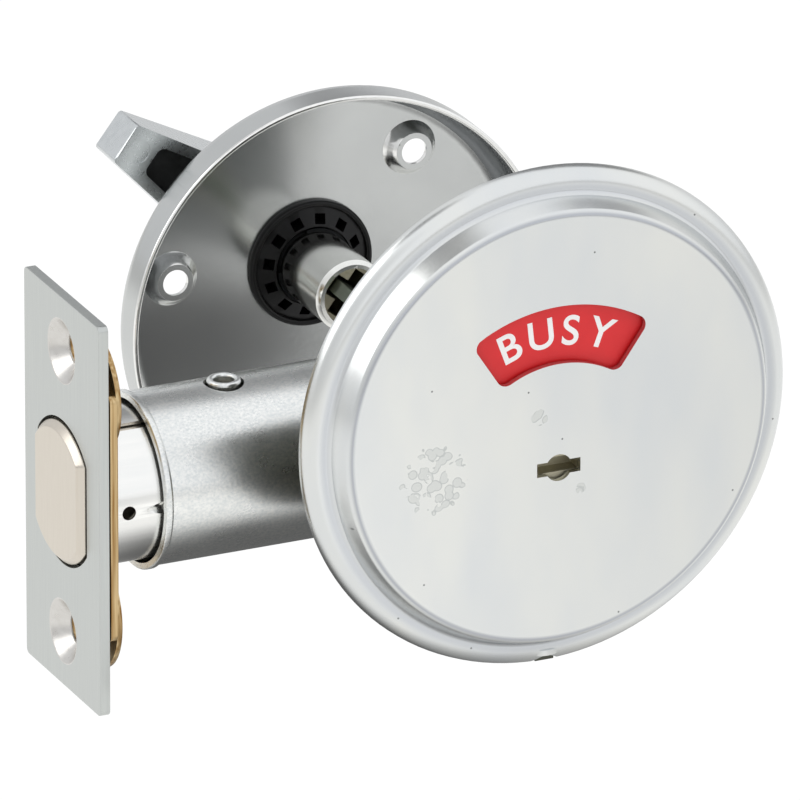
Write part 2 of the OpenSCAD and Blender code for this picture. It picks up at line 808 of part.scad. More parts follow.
module engaged_label() {
    color("#d2343a") label(0);
}

module vacant_label() {
    color("#2f8f4e") label(turn_angle);
}

module slot_hub() {
    flange_z = wheel_top - wheel_t - hub_flange_t;
    color("#b9b49a") outside_half() difference() {
        union() {
            translate([0, 0, -hub_tail]) cylinder(h = hub_tail + hub_top, r = slot_hub_r);
            translate([0, 0, flange_z]) cylinder(h = hub_flange_t, r = hub_flange_r);
        }
        translate([0, 0, hub_top - key_depth / 2 + cut / 2]) cube([
            key_slot_l + 2 * key_end_gap, key_slot_w + 2 * key_side_gap, key_depth + cut
        ], center = true);
        rotate([0, 0, lever_angle]) translate([0, 0, bar_hold / 2 - hub_tail - cut / 2])
            cube([bar_w + 2 * seat_gap, bar_t + 2 * seat_gap, bar_hold + cut], center = true);
        translate([0, 0, -face_gap - clip_t])
            ring(slot_hub_r - clip_depth, 2 * slot_hub_r, clip_t);
    }
}

module tail_bar() {
    color("#a9a877") on_spindle(bar_end_y) rotate([0, 0, lever_angle])
        translate([-bar_w / 2, -bar_t / 2, 0]) cube([bar_w, bar_t, bar_end_y - bar_start_y]);
}

module spring_washer() {
    washer_z = plate_seat + face_gap;
    flange_z = wheel_top - wheel_t - hub_flange_t;
    color("#777a7c") outside_half() translate([0, 0, washer_z])
        ring(slot_hub_r + seat_gap, hub_flange_r - spring_inset, flange_z - washer_z);
}

module hub_clip() {
    color("#3a3a3a") outside_half() translate([0, 0, -face_gap - clip_t + seat_gap])
        rotate([0, 0, -90])
            open_ring(slot_hub_r - clip_depth + seat_gap, slot_hub_r + clip_wall,
                clip_t - 2 * seat_gap, clip_slot);
}

// Inside half

module inside_rose() {
    sink_depth = inside_t + dimple_h - dimple_wall;
    color("#9c9e9d") inside_half() rotate([0, 0, inside_turn]) difference() {
        union() {
            translate([0, -inside_drop, 0]) rotate_extrude() difference() {
                dish_section(0);
                dish_section(inside_t);
            }
            for (s = [-1, 1])
                translate([s * hole_x, hole_z, floor_z - dimple_h])
                    cylinder(h = dimple_h + inside_t / 2, d1 = dimple_d, d2 = dimple_foot);
        }
        translate([0, 0, -cut]) cylinder(h = inside_h + 2 * cut, r = barrel_r + seat_gap);
        for (s = [-1, 1])
            translate([s * hole_x, hole_z, inside_h]) mirror([0, 0, 1])
                countersink(dimple_foot - dimple_wall, hole_d, sink_depth, inside_h);
    }
}

module bearing_ring() {
    lip_at = [ring_r - ring_lip, ring_front_z + ring_lip];
    color("#151515") inside_half() difference() {
        // Domed face with a rounded lip, a barrel through the dish and a seat for the clip
        rotate_extrude() polygon(concat(
            [[turn_r + run_gap, ring_seat_z], [ring_seat_r, ring_seat_z], [ring_seat_r, ring_nose_z]],
            arc(lip_at, ring_lip, 180, 360, 0, 10),
            [[ring_r, lip_at.y], [ring_r, floor_z], [barrel_r, floor_z]],
            [[barrel_r, ring_back_z], [turn_r + run_gap, ring_back_z]]
        ));
        for (i = [0 : ring_notches - 1])
            rotate([0, 0, inside_turn + 360 * i / ring_notches])
                translate([ring_seat_r + ring_notch_wall, -ring_notch.y / 2, 0])
                    cube([ring_notch.x, ring_notch.y, ring_back_z + cut]);
    }
}

module thumbturn_lever() {
    pocket_end = lever_r - lever_nose;
    lever_top = lever_z + lever_root_h;
    color("#a9acae") inside_half() rotate([0, 0, lever_angle]) difference() {
        union() {
            intersection() {
                translate([0, 0, lever_z]) linear_extrude(2 * lever_root_h) {
                    circle(lever_hub_r);
                    tapered(0, lever_r, lever_root_w, lever_tip_w, lever_corner);
                }
                // Side outline: flat towards the door, thinner towards the tip
                rotate([90, 0, 0]) linear_extrude(4 * lever_hub_r, center = true) polygon([
                    [-2 * lever_hub_r, lever_z], [lever_r + cut, lever_z],
                    [lever_r + cut, lever_z + lever_tip_h], [lever_hub_r / 2, lever_top],
                    [-lever_hub_r / 2, lever_top], [-lever_hub_r, lever_top - lever_back],
                    [-2 * lever_hub_r, lever_top - lever_back]
                ]);
            }
            translate([0, 0, lever_boss_z]) cylinder(h = lever_z - lever_boss_z + cut, r = lever_boss_r);
        }
        translate([0, 0, lever_boss_z - cut])
            cylinder(h = lever_z + lever_bore_h - lever_boss_z + cut, r = turn_r + seat_gap);
        translate([0, 0, lever_z - cut]) linear_extrude(pocket_depth + cut)
            tapered(pocket_start, pocket_end, lever_w(pocket_start) - 2 * lever_wall,
                lever_w(pocket_end) - 2 * lever_wall, pocket_corner);
        translate([mark_x, 0, lever_z - cut]) cylinder(h = mark_depth + cut, d = mark_d);
        translate([0, 0, lever_pin_z]) rotate([90, 0, 0])
            cylinder(h = 4 * lever_hub_r, d = lever_pin_d + 2 * seat_gap, center = true);
    }
}

module spindle_tube() {
    mouth_chamfer = 0.55;
    tube_end = lever_z + lever_bore_h - slide_gap;
    color("#c9cac7") inside_half() difference() {
        rotate_extrude() polygon([
            [turn_in_r, -turn_reach], [turn_r - mouth_chamfer, -turn_reach],
            [turn_r, mouth_chamfer - turn_reach], [turn_r, tube_end], [turn_in_r, tube_end]
        ]);
        translate([0, 0, ring_seat_z - 2 * seat_gap - clip_t])
            ring(turn_r - clip_depth / 2, 2 * turn_r, clip_t);
        rotate([0, 0, lever_angle]) translate([0, 0, lever_pin_z]) rotate([90, 0, 0])
            cylinder(h = 4 * turn_r, d = lever_pin_d + 2 * seat_gap, center = true);
    }
}

module spindle_insert() {
    color("#b9b08c") inside_half() translate([0, 0, insert_recess - turn_reach]) difference() {
        cylinder(h = insert_l, r = turn_in_r - seat_gap);
        for (a = [0, 90])
            rotate([0, 0, lever_angle + a]) translate([0, 0, insert_l / 2])
                cube([key_arm_l, key_arm_w, insert_l + 2 * cut], center = true);
    }
}

module lever_pin() {
    color("#8b8d8e") inside_half() rotate([0, 0, lever_angle]) translate([0, 0, lever_pin_z])
        rotate([90, 0, 0]) cylinder(h = 2 * (lever_hub_r - lever_pin_inset), d = lever_pin_d, center = true);
}

module turn_washer() {
    washer_z = ring_back_z + run_gap;
    color("#e6e2d6") inside_half() translate([0, 0, washer_z])
        ring(turn_r + seat_gap, lever_boss_r, lever_boss_z - washer_z);
}

module turn_clip() {
    color("#2a2a2a") inside_half() translate([0, 0, ring_seat_z - seat_gap - clip_t])
        rotate([0, 0, lever_angle])
            open_ring(turn_r - clip_depth / 2 + seat_gap, turn_r + clip_depth / 2,
                clip_t - 2 * seat_gap, clip_slot);
}

faceplate();
backplate();
inner_tube();
outer_sleeve();
backset_pin();
hub_case();
hub_washers();
detent_spring();
bolt_head();
saw_pin();
bolt_link();
link_rivet();
crank_hub();
crank_pin();
outside_rose();
outside_plate();
mounting_posts();
indicator_wheel();
engaged_label();
vacant_label();
slot_hub();
tail_bar();
spring_washer();
hub_clip();
inside_rose();
bearing_ring();
thumbturn_lever();
spindle_tube();
spindle_insert();
lever_pin();
turn_washer();
turn_clip();
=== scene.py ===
import json
import math

import bpy
from mathutils import Matrix, Vector

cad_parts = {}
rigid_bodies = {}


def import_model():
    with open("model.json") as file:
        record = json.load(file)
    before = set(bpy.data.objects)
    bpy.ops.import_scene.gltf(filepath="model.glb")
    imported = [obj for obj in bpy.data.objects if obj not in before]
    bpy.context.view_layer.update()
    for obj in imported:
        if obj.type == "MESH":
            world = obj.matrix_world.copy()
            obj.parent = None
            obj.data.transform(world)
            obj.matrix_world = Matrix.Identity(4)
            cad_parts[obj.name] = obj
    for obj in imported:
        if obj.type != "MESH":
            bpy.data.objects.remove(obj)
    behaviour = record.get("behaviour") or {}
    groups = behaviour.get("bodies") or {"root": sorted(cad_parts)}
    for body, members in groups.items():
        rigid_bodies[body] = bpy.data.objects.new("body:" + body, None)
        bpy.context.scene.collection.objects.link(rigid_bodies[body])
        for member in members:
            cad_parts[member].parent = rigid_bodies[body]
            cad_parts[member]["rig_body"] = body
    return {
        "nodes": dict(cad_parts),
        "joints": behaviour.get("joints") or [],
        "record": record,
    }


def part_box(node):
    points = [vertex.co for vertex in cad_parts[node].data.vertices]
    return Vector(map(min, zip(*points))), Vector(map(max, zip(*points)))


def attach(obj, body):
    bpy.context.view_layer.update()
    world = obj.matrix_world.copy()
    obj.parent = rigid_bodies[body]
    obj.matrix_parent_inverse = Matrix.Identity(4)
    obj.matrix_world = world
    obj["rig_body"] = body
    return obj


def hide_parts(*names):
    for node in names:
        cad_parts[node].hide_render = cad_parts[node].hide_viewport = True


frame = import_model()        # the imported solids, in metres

bpy.ops.object.select_all(action="DESELECT")
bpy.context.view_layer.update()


# Faceplate: a stamped steel plate with two dimpled screw holes and the bolt's opening.
# It is belt-brushed and satin plated, so fine lines run up the plate and its edges are bright.
# Two wood screws hold it flush in the door's edge.

def linear(hex_colour):
    """An sRGB hex colour as the linear values that Blender's sockets take."""
    values = [int(hex_colour[i:i + 2], 16) / 255 for i in (1, 3, 5)]
    return [v / 12.92 if v <= 0.04045 else ((v + 0.055) / 1.055) ** 2.4 for v in values] + [1.0]


def add(tree, kind, inputs, **settings):
    """Adds a node: settings are its own fields, inputs are values or other nodes' outputs."""
    made = tree.nodes.new(kind)
    for field, value in settings.items():
        setattr(made, field, value)
    for socket, value in inputs.items():
        if isinstance(value, bpy.types.NodeSocket):
            tree.links.new(value, made.inputs[socket])
        else:
            made.inputs[socket].default_value = value
    return made


def start_material(name, colour, metallic, roughness):
    """A named material with its plain values set, its node tree and its shader."""
    material = bpy.data.materials.new(name)
    material.use_nodes = True
    material.diffuse_color = linear(colour)
    shader = material.node_tree.nodes["Principled BSDF"]
    shader.inputs["Base Color"].default_value = linear(colour)
    shader.inputs["Metallic"].default_value = metallic
    shader.inputs["Roughness"].default_value = roughness
    return material, material.node_tree, shader


def grain(tree, size_mm, stretch=(1, 1, 1), detail=3.0):
    """Noise on the piece's own coordinates, about this large, drawn out where the stretch is small."""
    place = add(tree, "ShaderNodeTexCoord", {})
    drawn = add(tree, "ShaderNodeMapping", {"Vector": place.outputs["Object"], "Scale": stretch})
    noise = add(tree, "ShaderNodeTexNoise",
                {"Vector": drawn.outputs["Vector"], "Scale": 1000 / size_mm, "Detail": detail})
    return noise.outputs["Fac"]


def band(tree, pattern, low, high, ends=(0.0, 1.0), smooth=False):
    """Stretches the part of a pattern between two levels to a range, evenly or with soft ends."""
    stretched = add(tree, "ShaderNodeMapRange", {"Value": pattern, "From Min": low, "From Max": high,
                                                 "To Min": ends[0], "To Max": ends[1]},
                    interpolation_type="SMOOTHSTEP" if smooth else "LINEAR")
    return stretched.outputs["Result"]


def tinted(tree, pattern, first, second):
    """A colour that a grey pattern moves from a first to a second."""
    share, colour_a, colour_b, result = 0, 6, 7, 2        # the mix node's sockets for colours
    mix = add(tree, "ShaderNodeMix", {share: pattern, colour_a: first, colour_b: second}, data_type="RGBA")
    return mix.outputs[result]


def vary(tree, shader, field, low, high, pattern):
    """Lets a grey pattern move a shader value or colour between two ends."""
    if isinstance(low, str):
        moved = tinted(tree, pattern, linear(low), linear(high))
    else:
        moved = band(tree, pattern, 0.0, 1.0, (low, high))
    tree.links.new(moved, shader.inputs[field])


def raise_bumps(tree, shader, pattern, depth_mm):
    """Turns a grey pattern into relief of a depth in millimetres."""
    bump = add(tree, "ShaderNodeBump", {"Strength": 1.0, "Distance": depth_mm / 1000, "Height": pattern})
    tree.links.new(bump.outputs["Normal"], shader.inputs["Normal"])


SAME_POINT = 1e-6
SAME_PLANE, SHARP_EDGE, CREASE = math.radians(0.4), math.radians(35), math.radians(30)
EDGE_SEGMENTS, FAVOUR_LARGE_FACES = 2, 100


def dressed(node, material, edge_mm=0.0, shape=None):
    """A copy of a solid with its triangles joined, its edges broken and its round faces shaded round.
    A shape function, where there is one, works on the joined copy before its edges are broken."""
    solid = frame["nodes"][node]
    piece = bpy.data.objects.new(node + "_dressed", solid.data.copy())
    bpy.context.scene.collection.objects.link(piece)
    bpy.context.view_layer.objects.active = piece
    piece.select_set(True)
    bpy.ops.mesh.customdata_custom_splitnormals_clear()
    bpy.ops.object.mode_set(mode="EDIT")
    bpy.ops.mesh.select_all(action="SELECT")
    bpy.ops.mesh.remove_doubles(threshold=SAME_POINT)
    if edge_mm:
        bpy.ops.mesh.dissolve_limited(angle_limit=SAME_PLANE)
    bpy.ops.object.mode_set(mode="OBJECT")
    if shape:
        shape(piece)
    if edge_mm:
        bevel = piece.modifiers.new("broken_edges", "BEVEL")
        bevel.width = edge_mm / 1000
        bevel.segments = EDGE_SEGMENTS
        bevel.limit_method = "ANGLE"
        bevel.angle_limit = SHARP_EDGE
        bpy.ops.object.modifier_apply(modifier=bevel.name)
    bpy.ops.object.shade_smooth_by_angle(angle=CREASE)
    weigh = piece.modifiers.new("even_faces", "WEIGHTED_NORMAL")
    weigh.keep_sharp = True
    weigh.weight = FAVOUR_LARGE_FACES
    bpy.ops.object.modifier_apply(modifier=weigh.name)
    piece.data.materials.clear()
    piece.data.materials.append(material)
    piece.select_set(False)
    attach(piece, solid["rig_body"])
    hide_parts(node)
    return piece


def repaint(piece, material, chosen):
    """Gives the faces that a test chooses another material."""
    piece.data.materials.append(material)
    for face in piece.data.polygons:
        if chosen(face):
            face.material_index = len(piece.data.materials) - 1


brushed_plate, tree, shader = start_material("belt_brushed_satin_steel", "#c1c3c0", 1.0, 0.34)
brush = grain(tree, 0.35, (1, 1, 0.03))
vary(tree, shader, "Base Color", "#b8bbb9", "#cacdc9", brush)
vary(tree, shader, "Roughness", 0.28, 0.4, brush)
raise_bumps(tree, shader, brush, 0.003)
burnished, tree, shader = start_material("steel_burnished_by_the_punch", "#d3d1cc", 1.0, 0.2)
drag = grain(tree, 0.8)
vary(tree, shader, "Base Color", "#c8c5bf", "#dedcd8", drag)
vary(tree, shader, "Roughness", 0.24, 0.34, drag)
screws = next(mount for mount in frame["record"]["mounts"] if mount["name"] == "faceplate_screws")
SCREW_PITCH = screws["dims"]["spacing_y_mm"] / 1000
DIMPLE_RADIUS, FACING_FLAT = 0.0055, 0.98


def slopes_to_screw(face):
    """Whether a face of the plate belongs to a screw's dimple."""
    from_screw = math.hypot(face.center.y, abs(face.center.z) - SCREW_PITCH / 2)
    return from_screw < DIMPLE_RADIUS and abs(face.normal.x) < FACING_FLAT


plate = dressed("faceplate", brushed_plate, edge_mm=0.12)
repaint(plate, burnished, slopes_to_screw)


# Backplate: two steel sheets behind the faceplate, joined to the inner tube.
# Yellow zinc plating gives them an oily gold that clouds from straw to brown. Lines from the
# shears show along the cut edges.
SHEAR_LEVELS, FACING_EDGE = (0.35, 0.65), 0.6
yellow_zinc, tree, shader = start_material("yellow_passivated_zinc", "#bfa276", 1.0, 0.3)
clouds = grain(tree, 6, detail=4.0)
vary(tree, shader, "Base Color", "#a78656", "#dfcaa2", clouds)
vary(tree, shader, "Roughness", 0.22, 0.4, clouds)
sheared_zinc, tree, shader = start_material("yellow_zinc_on_sheared_edge", "#b39162", 1.0, 0.3)
shears = band(tree, grain(tree, 0.6, (1, 1, 0.03)), *SHEAR_LEVELS)
vary(tree, shader, "Base Color", "#8f6a3a", "#d2b98c", shears)
vary(tree, shader, "Roughness", 0.22, 0.4, grain(tree, 6, detail=4.0))
sheets = dressed("backplate", yellow_zinc, edge_mm=0.22)
repaint(sheets, sheared_zinc, lambda face: abs(face.normal.x) < FACING_EDGE)


# Inner tube: rolled from bright zinc-plated strip, with an open seam and a pressed stop.
# The strip is almost polished, and rolling leaves faint lines along it.
rolled_strip, tree, shader = start_material("bright_zinc_rolled_strip", "#f0f0ec", 1.0, 0.2)
roll = grain(tree, 1.2, (0.05, 1, 1), 4.0)
vary(tree, shader, "Base Color", "#e8e9e6", "#f7f6f2", roll)
vary(tree, shader, "Roughness", 0.14, 0.3, roll)
dressed("inner_tube", rolled_strip, edge_mm=0.06)


# Sleeve and eyelet: drawn steel tube, barrel plated in bright zinc, which the eyelet locks.
# The dull plating is pitted and speckled all over, so its reflections break up at their edges.
PIT_LEVELS = 0.3, 0.7
barrel_zinc, tree, shader = start_material("barrel_plated_zinc", "#e6e8e5", 1.0, 0.3)
pits = band(tree, grain(tree, 0.34, (0.8, 1, 1), 5.0), *PIT_LEVELS)
stains = grain(tree, 7, detail=5.0)
vary(tree, shader, "Base Color", "#d6dad9", "#f2f2ee", pits)
vary(tree, shader, "Roughness", 0.2, 0.36, stains)
raise_bumps(tree, shader, pits, 0.005)
for node in ("outer_sleeve", "backset_pin"):
    dressed(node, barrel_zinc, edge_mm=0.08)


# Hub case and link: flat stamped steel, zinc plated and left dull.
# They stay inside the door, so the rolling lines of the strip still show through the plating.
dull_zinc, tree, shader = start_material("dull_zinc_on_stamped_steel", "#7c7f7f", 1.0, 0.42)
mill = grain(tree, 2.5, (0.3, 1, 1), 4.0)
vary(tree, shader, "Base Color", "#6f7272", "#8b8e8d", mill)
vary(tree, shader, "Roughness", 0.34, 0.5, mill)
for node in ("hub_case", "bolt_link"):
    dressed(node, dull_zinc, edge_mm=0.08)


# Closing plate: flat stamped steel that shuts the outside rose's back, with a tab in its rim.
# Its zinc is passivated olive, and its colour is painted darker as the shade it lies in behind the rose;
# it clouds a little.
# Painted shade: the plate's olive is made dark, so its back and rim read as shaded.
olive_zinc_painted_dark, tree, shader = start_material("olive_zinc_darkened_as_shade", "#56574f", 1.0, 0.42)
haze = grain(tree, 5, (0.3, 1, 1), 4.0)
vary(tree, shader, "Base Color", "#4a4b43", "#64655c", haze)
vary(tree, shader, "Roughness", 0.36, 0.5, haze)
dressed("outside_plate", olive_zinc_painted_dark, edge_mm=0.08)


# Bolt: a solid bar with two flats, ground and plated with nickel.
# Nickel is a little warmer than the zinc round it, and grinding leaves a fine grain.
nickel, tree, shader = start_material("satin_nickel", "#d6cfc3", 1.0, 0.34)
ground = grain(tree, 0.5, (1, 1, 0.1), 4.0)
vary(tree, shader, "Base Color", "#cec6b9", "#dad3c7", ground)
vary(tree, shader, "Roughness", 0.28, 0.38, ground)
raise_bumps(tree, shader, ground, 0.0015)
dressed("bolt_head", nickel, edge_mm=0.15)


# Pins, rivets, washers, clips and the leaf spring: plain hardened or oiled steel.
# Small turned and stamped pieces, darker than the plated ones and with faint mill marks.
plain_steel, tree, shader = start_material("oiled_plain_steel", "#6b6d6f", 1.0, 0.38)
turned = grain(tree, 0.8)
vary(tree, shader, "Base Color", "#55575a", "#7d7f81", turned)
vary(tree, shader, "Roughness", 0.3, 0.48, turned)
for node in ("hub_washers", "detent_spring", "saw_pin", "link_rivet", "crank_pin", "spring_washer",
             "lever_pin"):
    dressed(node, plain_steel)
# Black oxide for the clips; the turn washer takes it too as painted shade, so the bearing ring's notches
# look dark.
black_oxide_and_painted_shade, tree, shader = start_material("black_oxide_steel_and_painted_shade", "#202122", 1.0, 0.45)
oxide = grain(tree, 0.6)
vary(tree, shader, "Base Color", "#18191a", "#2b2c2d", oxide)
vary(tree, shader, "Roughness", 0.38, 0.55, oxide)
for node in ("hub_clip", "turn_clip", "turn_washer"):
    dressed(node, black_oxide_and_painted_shade)


# Crank hub, key hub, posts and the tube's keyed insert: zinc die castings, left raw.
# Raw zinc is a dull warm grey with a slightly grainy skin.
raw_zinc, tree, shader = start_material("raw_zinc_casting", "#b6b19c", 1.0, 0.5)
skin = grain(tree, 0.7, detail=5.0)
vary(tree, shader, "Base Color", "#a19b83", "#c8c3ae", skin)
vary(tree, shader, "Roughness", 0.42, 0.62, skin)
raise_bumps(tree, shader, skin, 0.02)
for node in ("crank_hub", "mounting_posts", "slot_hub", "spindle_insert"):
    dressed(node, raw_zinc, edge_mm=0.1)


# Tail bar: flat steel bar that turns with the key hub and drives crank and thumbturn.
# Its zinc is passivated to a grey green.
green_zinc, tree, shader = start_material("green_grey_passivated_zinc", "#80877a", 1.0, 0.34)
drawn_bar = grain(tree, 1.5, (1, 0.1, 1), 4.0)
vary(tree, shader, "Base Color", "#6f766a", "#959b8d", drawn_bar)
vary(tree, shader, "Roughness", 0.26, 0.44, drawn_bar)
dressed("tail_bar", green_zinc, edge_mm=0.15)


# Outside rose: spun and stepped sheet with a window and a key slot, satin chromed.
# The chrome is pale, with wiped cloudy places and a few dark specks, and carries painted shade in
# thin darker rings along the step's edge and in its groove. Knocks have flaked it in three small spots.
ROSE_FACE_COLOURS, WIPED_LEVELS = ("#d5d8d9", "#dfe0dc"), (0.35, 0.65)
PAINTED_SHADE_RINGS_MM = ((30.8, 0.5, "#b3b6ba"), (33.4, 1.3, "#c7cacd"))
FLAKED_SPOTS = (((0.0415, 0, 0.006), 0.0062), ((0.0574, 0, 0.0126), 0.0016), ((0.0636, 0, 0.0012), 0.001))
FLAKED_THROUGH, PATCHY_LEVELS = 0.7, (0.63, 0.56)
FLAKE_MM, FLAKE_SOFTNESS = 1.3, 0.3
FLAKE_EDGE, FLAKE_OUTLINE, FLAKE_FADE = 0.4, 0.5, 0.06
SPECK_APART_MM, SPECK_MM = 19, 0.17


def combined(tree, operation, first, second):
    """One pattern worked out from two, such as their product or the higher of them."""
    return add(tree, "ShaderNodeMath", {0: first, 1: second}, operation=operation).outputs["Value"]


def distance(tree, place, spot):
    """How far a place lies from a spot, in metres."""
    return add(tree, "ShaderNodeVectorMath", {0: place, 1: spot}, operation="DISTANCE").outputs["Value"]


satin_chrome, tree, shader = start_material("satin_chrome", "#dadcda", 1.0, 0.24)
place = add(tree, "ShaderNodeTexCoord", {}).outputs["Object"]
flat = add(tree, "ShaderNodeVectorMath", {0: place, 1: (1, 0, 1)}, operation="MULTIPLY").outputs["Vector"]
face_on = add(tree, "ShaderNodeMapping",
              {"Vector": flat, "Rotation": (math.radians(90), 0, 0)}).outputs["Vector"]
wiped = band(tree, grain(tree, 16, (1, 1, 0.4), 6.0), *WIPED_LEVELS)
chrome = tinted(tree, wiped, *(linear(colour) for colour in ROSE_FACE_COLOURS))

low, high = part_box("outside_rose")
centre = (low + high) / 2
from_centre = distance(tree, flat, (centre.x, 0, centre.z))
# Painted shade: thin darker rings along the step's edge and in the groove, where shade falls.
for radius, width, colour in PAINTED_SHADE_RINGS_MM:
    off = combined(tree, "SUBTRACT", from_centre, radius / 1000)
    aside = add(tree, "ShaderNodeMath", {0: off}, operation="ABSOLUTE").outputs["Value"]
    ring = band(tree, aside, width / 1000, 0.0, smooth=True)
    chrome = tinted(tree, ring, chrome, linear(colour))

flaked = 0.0
for spot, size in FLAKED_SPOTS:
    knocked = band(tree, distance(tree, flat, spot), size, size * FLAKED_THROUGH)
    flaked = combined(tree, "MAXIMUM", flaked, knocked)
patchy = band(tree, grain(tree, 2.6), *PATCHY_LEVELS)
loose = combined(tree, "MULTIPLY", flaked, patchy)
cells = add(tree, "ShaderNodeTexVoronoi",
            {"Vector": face_on, "Scale": 1000 / FLAKE_MM, "Smoothness": FLAKE_SOFTNESS},
            feature="SMOOTH_F1", voronoi_dimensions="2D").outputs["Distance"]
lifted = combined(tree, "SUBTRACT", cells, loose)
flakes = band(tree, lifted, FLAKE_EDGE - 1 + FLAKE_FADE, FLAKE_EDGE - 1)
outlines = band(tree, lifted, FLAKE_OUTLINE - 1 + FLAKE_FADE, FLAKE_OUTLINE - 1)
points = add(tree, "ShaderNodeTexVoronoi", {"Vector": face_on, "Scale": 1000 / SPECK_APART_MM},
             voronoi_dimensions="2D").outputs["Distance"]
specks = band(tree, points, SPECK_MM / SPECK_APART_MM, SPECK_MM / SPECK_APART_MM / 2)
for pattern, colour in ((outlines, "#c0c3c1"), (flakes, "#d2d4d1"), (specks, "#767877")):
    chrome = tinted(tree, pattern, chrome, linear(colour))
tree.links.new(chrome, shader.inputs["Base Color"])
vary(tree, shader, "Roughness", 0.2, 0.27, grain(tree, 0.4, detail=2.0))
raise_bumps(tree, shader, flakes, 0.004)
dressed("outside_rose", satin_chrome)


# Indicator wheel: white moulded disc behind the window, turned by the tail bar.
# Its two fields are printed foils, red with white letters and green with white letters.
moulded_white, tree, shader = start_material("moulded_white_acetal", "#e8e6e0", 0.0, 0.45)
mould = grain(tree, 1.5)
vary(tree, shader, "Base Color", "#e2e0d9", "#eeece7", mould)
vary(tree, shader, "Roughness", 0.4, 0.55, mould)
dressed("indicator_wheel", moulded_white)


def printed_foil(name, dark, light):
    """Printed foil: even ink with a faint mottle under a low gloss."""
    material, tree, shader = start_material(name, light, 0.0, 0.4)
    ink = grain(tree, 2, detail=4.0)
    vary(tree, shader, "Base Color", dark, light, ink)
    vary(tree, shader, "Roughness", 0.34, 0.46, ink)
    return material


red_ink = printed_foil("red_printed_foil", "#d3171c", "#df2025")
green_ink = printed_foil("green_printed_foil", "#27834a", "#339957")
white_ink = printed_foil("white_printed_letters", "#efecea", "#f7f5f3")
dressed("engaged_label", red_ink)
dressed("vacant_label", green_ink)

WINDOW_MIDDLE, FIELDS_APART = 89.15, 90
LETTER_HEIGHT, LETTER_RADIUS, LETTER_GAP = 0.0042, 0.0174, 0.0014
LETTER_WEIGHT, INK_THICKNESS = 0.012, 0.00004
hinge = next(joint for joint in frame["joints"] if joint["name"] == "spindle_hinge")
spindle = Vector(hinge["pos_m"])
field_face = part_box("engaged_label")[0].y


def curved_word(word, middle_angle, name):
    """White letters set round the spindle, with their feet on one circle. The last has a flat top."""
    letters = []
    for character in word:
        bpy.ops.object.text_add()
        letter = bpy.context.object
        letter.data.body = character
        letter.data.extrude = 0.5        # one unit thick, until it shrinks to the ink's thickness
        letter.data.offset = LETTER_WEIGHT
        bpy.ops.object.convert(target="MESH")
        letters.append(bpy.context.object)
        bpy.context.object.select_set(False)
    scale = LETTER_HEIGHT / max(vertex.co.y for vertex in letters[-1].data.vertices)
    spans = []
    for letter in letters:
        xs = [vertex.co.x * scale for vertex in letter.data.vertices]
        spans.append((min(xs), max(xs)))
    length = sum(high - low for low, high in spans) + LETTER_GAP * (len(word) - 1)
    reach = LETTER_RADIUS + LETTER_HEIGHT / 2
    run = -length / 2
    for letter, (low, high) in zip(letters, spans):
        turn = math.radians(middle_angle - 90) - (run + (high - low) / 2) / reach
        shrink = Matrix.Diagonal((scale, scale, INK_THICKNESS, 1))
        centred = Matrix.Translation((-(low + high) / 2, LETTER_RADIUS, 0))
        stand = Matrix.Rotation(math.radians(90), 4, "X")
        seat = Matrix.Translation((spindle.x, field_face, spindle.z))
        letter.data.transform(seat @ stand @ Matrix.Rotation(turn, 4, "Z") @ centred @ shrink)
        run += high - low + LETTER_GAP
        letter.select_set(True)
    bpy.context.view_layer.objects.active = letters[0]
    bpy.ops.object.join()
    piece = bpy.context.object
    piece.name = name
    piece.data.materials.clear()
    piece.data.materials.append(white_ink)
    piece.select_set(False)
    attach(piece, "spindle")


curved_word("BUSY", WINDOW_MIDDLE, "engaged_letters")
curved_word("FREE", WINDOW_MIDDLE + FIELDS_APART, "vacant_letters")


# Inside rose: a drawn dish, brushed in circles and satin chromed, held by two screws.
# The round brushing throws a bow-tie of light and dark from the middle outwards. The wall that looks
# at the axis is painted darker as shade, and the brushing polishes the cut lip.
LIP_ROUND, LIP_RADIUS, LIP_DEPTH, LIP_TOLERANCE = 0.00034, 0.03, 0.0005, 1e-5
MIDDLE_RADIUS, WALL_RADIUS, FACING_IN = 0.011, 0.0275, -0.4
ROUND_SEGMENTS, ACROSS_THE_LINES = 4, 0.25


def brush_in_circles(tree, shader, strength):
    """Stretches reflections away from the Y axis, as lines brushed or turned round it do."""
    shader.inputs["Anisotropic"].default_value = strength
    shader.inputs["Anisotropic Rotation"].default_value = ACROSS_THE_LINES
    circles = add(tree, "ShaderNodeTangent", {}, direction_type="RADIAL", axis="Y")
    tree.links.new(circles.outputs["Tangent"], shader.inputs["Tangent"])


round_brushed, tree, shader = start_material("circle_brushed_chrome", "#c8cac9", 1.0, 0.24)
worn = grain(tree, 9, detail=5.0)
vary(tree, shader, "Base Color", "#bdbfbe", "#cdcfcd", worn)
vary(tree, shader, "Roughness", 0.16, 0.22, grain(tree, 0.5))
brush_in_circles(tree, shader, 0.85)
# Painted shade: a darker, duller chrome for the inner wall, where shade falls inside the dish.
painted_shade_wall, tree, shader = start_material("chrome_wall_painted_shade", "#8c8f91", 1.0, 0.4)
cloud = grain(tree, 5, detail=4.0)
vary(tree, shader, "Base Color", "#7f8284", "#999c9d", cloud)
vary(tree, shader, "Roughness", 0.34, 0.48, cloud)
polished_lip, tree, shader = start_material("polished_chrome_edge", "#eeeeeb", 1.0, 0.14)
nicks = grain(tree, 0.9)
vary(tree, shader, "Base Color", "#e4e4e1", "#f6f6f3", nicks)
vary(tree, shader, "Roughness", 0.08, 0.24, nicks)
dish_low, dish_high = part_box("inside_rose")
dish_middle = (dish_low + dish_high) / 2


